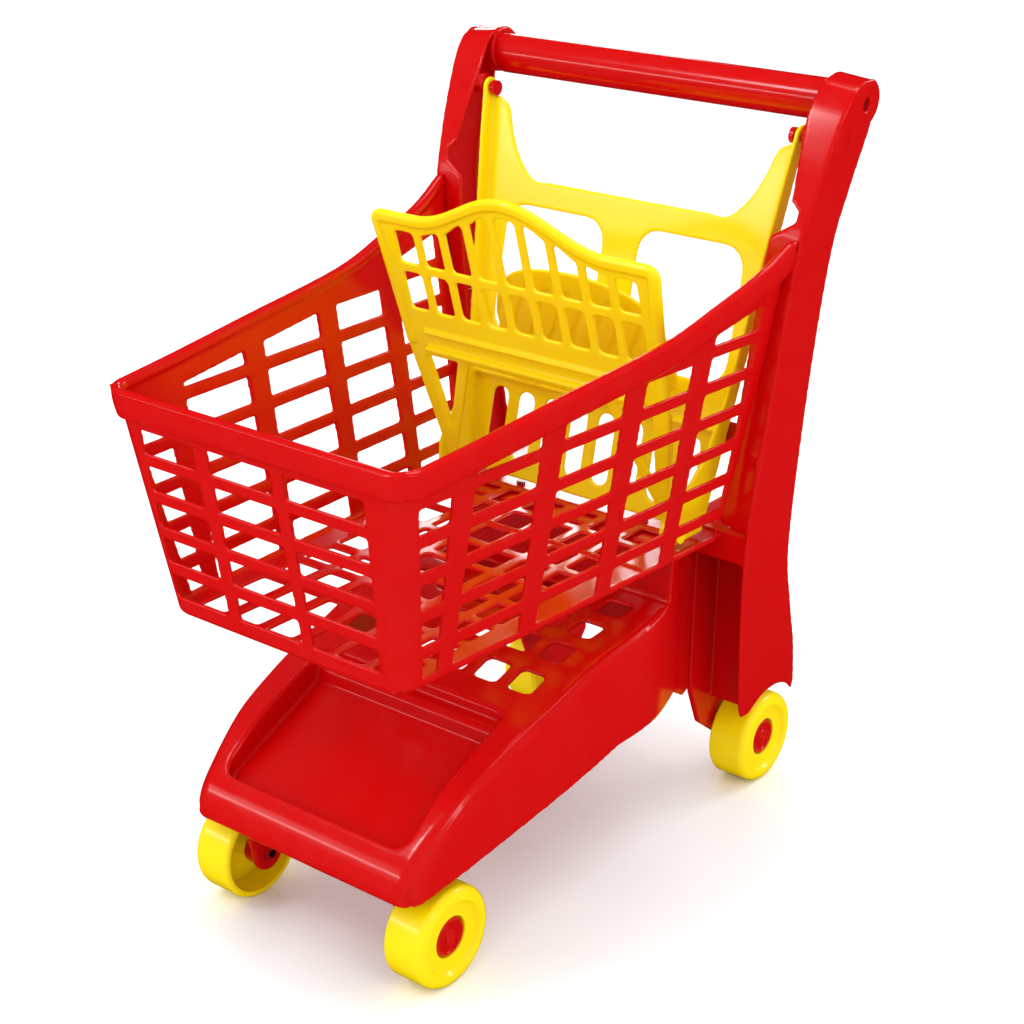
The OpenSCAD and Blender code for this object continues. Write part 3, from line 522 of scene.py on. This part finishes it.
# ---- seat flap: a rolled rim ----
FLAP_FOOT = (75.25 * mm, 238 * mm)
FLAP_TILT = math.atan(64 / 201)
FLAP_LENGTH, FLAP_WAVE, FLAP_WAVE_HALF = 214 * mm, 26 * mm, 80 * mm
FLAP_CORNER = 9 * mm
FLAP_HALF = 103.22 * mm
FLAP_WIDENS = 0.072
FLAP_FRONT, FLAP_REAR = -2 * mm, 5 * mm
FLAP_RIM = 8 * mm
FLAP_ROLL = 3.3 * mm
FLAP_LIP = 1.7 * mm


def outside_flap(x, along):
    """Signed distance outside the flap's outline, and the outline's outward normal there."""
    wave = np.clip(x / FLAP_WAVE_HALF, 0, 1) * math.pi / 2
    crest = FLAP_LENGTH + FLAP_WAVE * np.cos(wave) ** 2
    slope = np.where(x < FLAP_WAVE_HALF, FLAP_WAVE * np.sin(2 * wave) * math.pi / 2 / FLAP_WAVE_HALF, 0)
    tilt = 1 / np.hypot(1, slope)
    width = FLAP_HALF + FLAP_WIDENS * along
    above, beside = (along - crest) * tilt + FLAP_CORNER, x - width + FLAP_CORNER
    corner = (above > 0) & (beside > 0)
    reach = np.maximum(np.hypot(above, beside), 1e-9)
    gap = np.where(corner, reach, np.maximum(above, beside)) - FLAP_CORNER
    up = np.where(corner, above / reach, np.where(above > beside, 1, 0))
    out = np.where(corner, beside / reach, np.where(above > beside, 0, 1))
    return gap, columns(out + up * slope * tilt, up * tilt, np.zeros(len(x)))


def flap_shape(co):
    """Rolls the flap's edge; it works in the flap's own axes: across, along and through its plane."""
    sin, cos = math.sin(FLAP_TILT), math.cos(FLAP_TILT)
    mirror = mirror_of(co)
    half = co * mirror
    dy, dz = half[:, 1] - FLAP_FOOT[0], half[:, 2] - FLAP_FOOT[1]
    x, along, depth = half[:, 0], dz * cos - dy * sin, dy * cos + dz * sin
    gap, edge = outside_flap(x, along)
    local = columns(x, along, depth)
    for face, normal in (
        (FLAP_FRONT - depth, np.array((0.0, 0.0, -1.0))),
        (depth - FLAP_REAR, np.array((0.0, 0.0, 1.0))),
    ):
        local = round_edge(local, face, normal, gap, edge, FLAP_ROLL)
        local = round_edge(local, face, normal, -gap - FLAP_RIM, -edge, FLAP_LIP)
    x, along, depth = local.T
    turned = columns(x, FLAP_FOOT[0] - along * sin + depth * cos, FLAP_FOOT[1] + along * cos + depth * sin)
    return turned * mirror


# ---- uprights: the front flange runs down to a lip below the basket ----
# (y, z) round the lip and its x from inner to outer end, mm
LIP_OUTLINE = ((122.6, 206), (120.4, 229), (123.6, 229), (125.8, 206))
LIP_ACROSS = (83, 127)


def lip(side):
    return loft([[Vector((side * x, y, z)) * mm for y, z in LIP_OUTLINE] for x in LIP_ACROSS])


# ---- hub caps: a raised ring round each axle pin's head ----
# (from the axis, outward) round the ring's section, mm
CAP_RING = ((10.6, -1), (10.9, 1.0), (11.7, 1.6), (12.5, 1.2), (12.9, -1))
CAP_BOSS = 1.6 * mm
CAP_STEPS = 48


def cap_ring(node):
    low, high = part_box(node)
    side = 1 if high.x + low.x > 0 else -1
    face = (high.x if side > 0 else -low.x) - CAP_BOSS
    middle = (low + high) / 2
    vertices = [
        Vector((
            side * (face + up * mm),
            middle.y + out * mm * math.cos(turn),
            middle.z + out * mm * math.sin(turn),
        ))
        for turn in np.linspace(0, 2 * math.pi, CAP_STEPS, endpoint=False)
        for out, up in CAP_RING
    ]
    return vertices, band(CAP_STEPS, len(CAP_RING), closed=True)


make_camera()
make_floor()
make_lights()
dress_cad()

BASKET = ["basket_floor", "basket_front_wall", "basket_left_wall", "basket_right_wall", "basket_rim"]
moulded("basket", BASKET, voxel=1.0, smooth=4, shape=basket_shape, extra=[rim_sweep()])
moulded("base", ["base_tray"], voxel=1.2, smooth=3, shape=base_shape)
for side in ("left", "right"):
    moulded("side_" + side, ["upright_" + side], voxel=1.1, smooth=4, extra=[lip(1 if side == "right" else -1)])
    for end in ("front", "rear"):
        pin = "axle_pin_%s_%s" % (end, side)
        moulded("cap_%s_%s" % (end, side), [pin], voxel=0.45, smooth=2, extra=[cap_ring(pin)], edge=0.3)
moulded("gate_panel", ["gate"], voxel=1.0, smooth=3)
moulded("flap_panel", ["seat_flap"], voxel=0.9, smooth=3, shape=flap_shape)
moulded("seat_panel", ["seat_plate"], voxel=0.9, smooth=4)
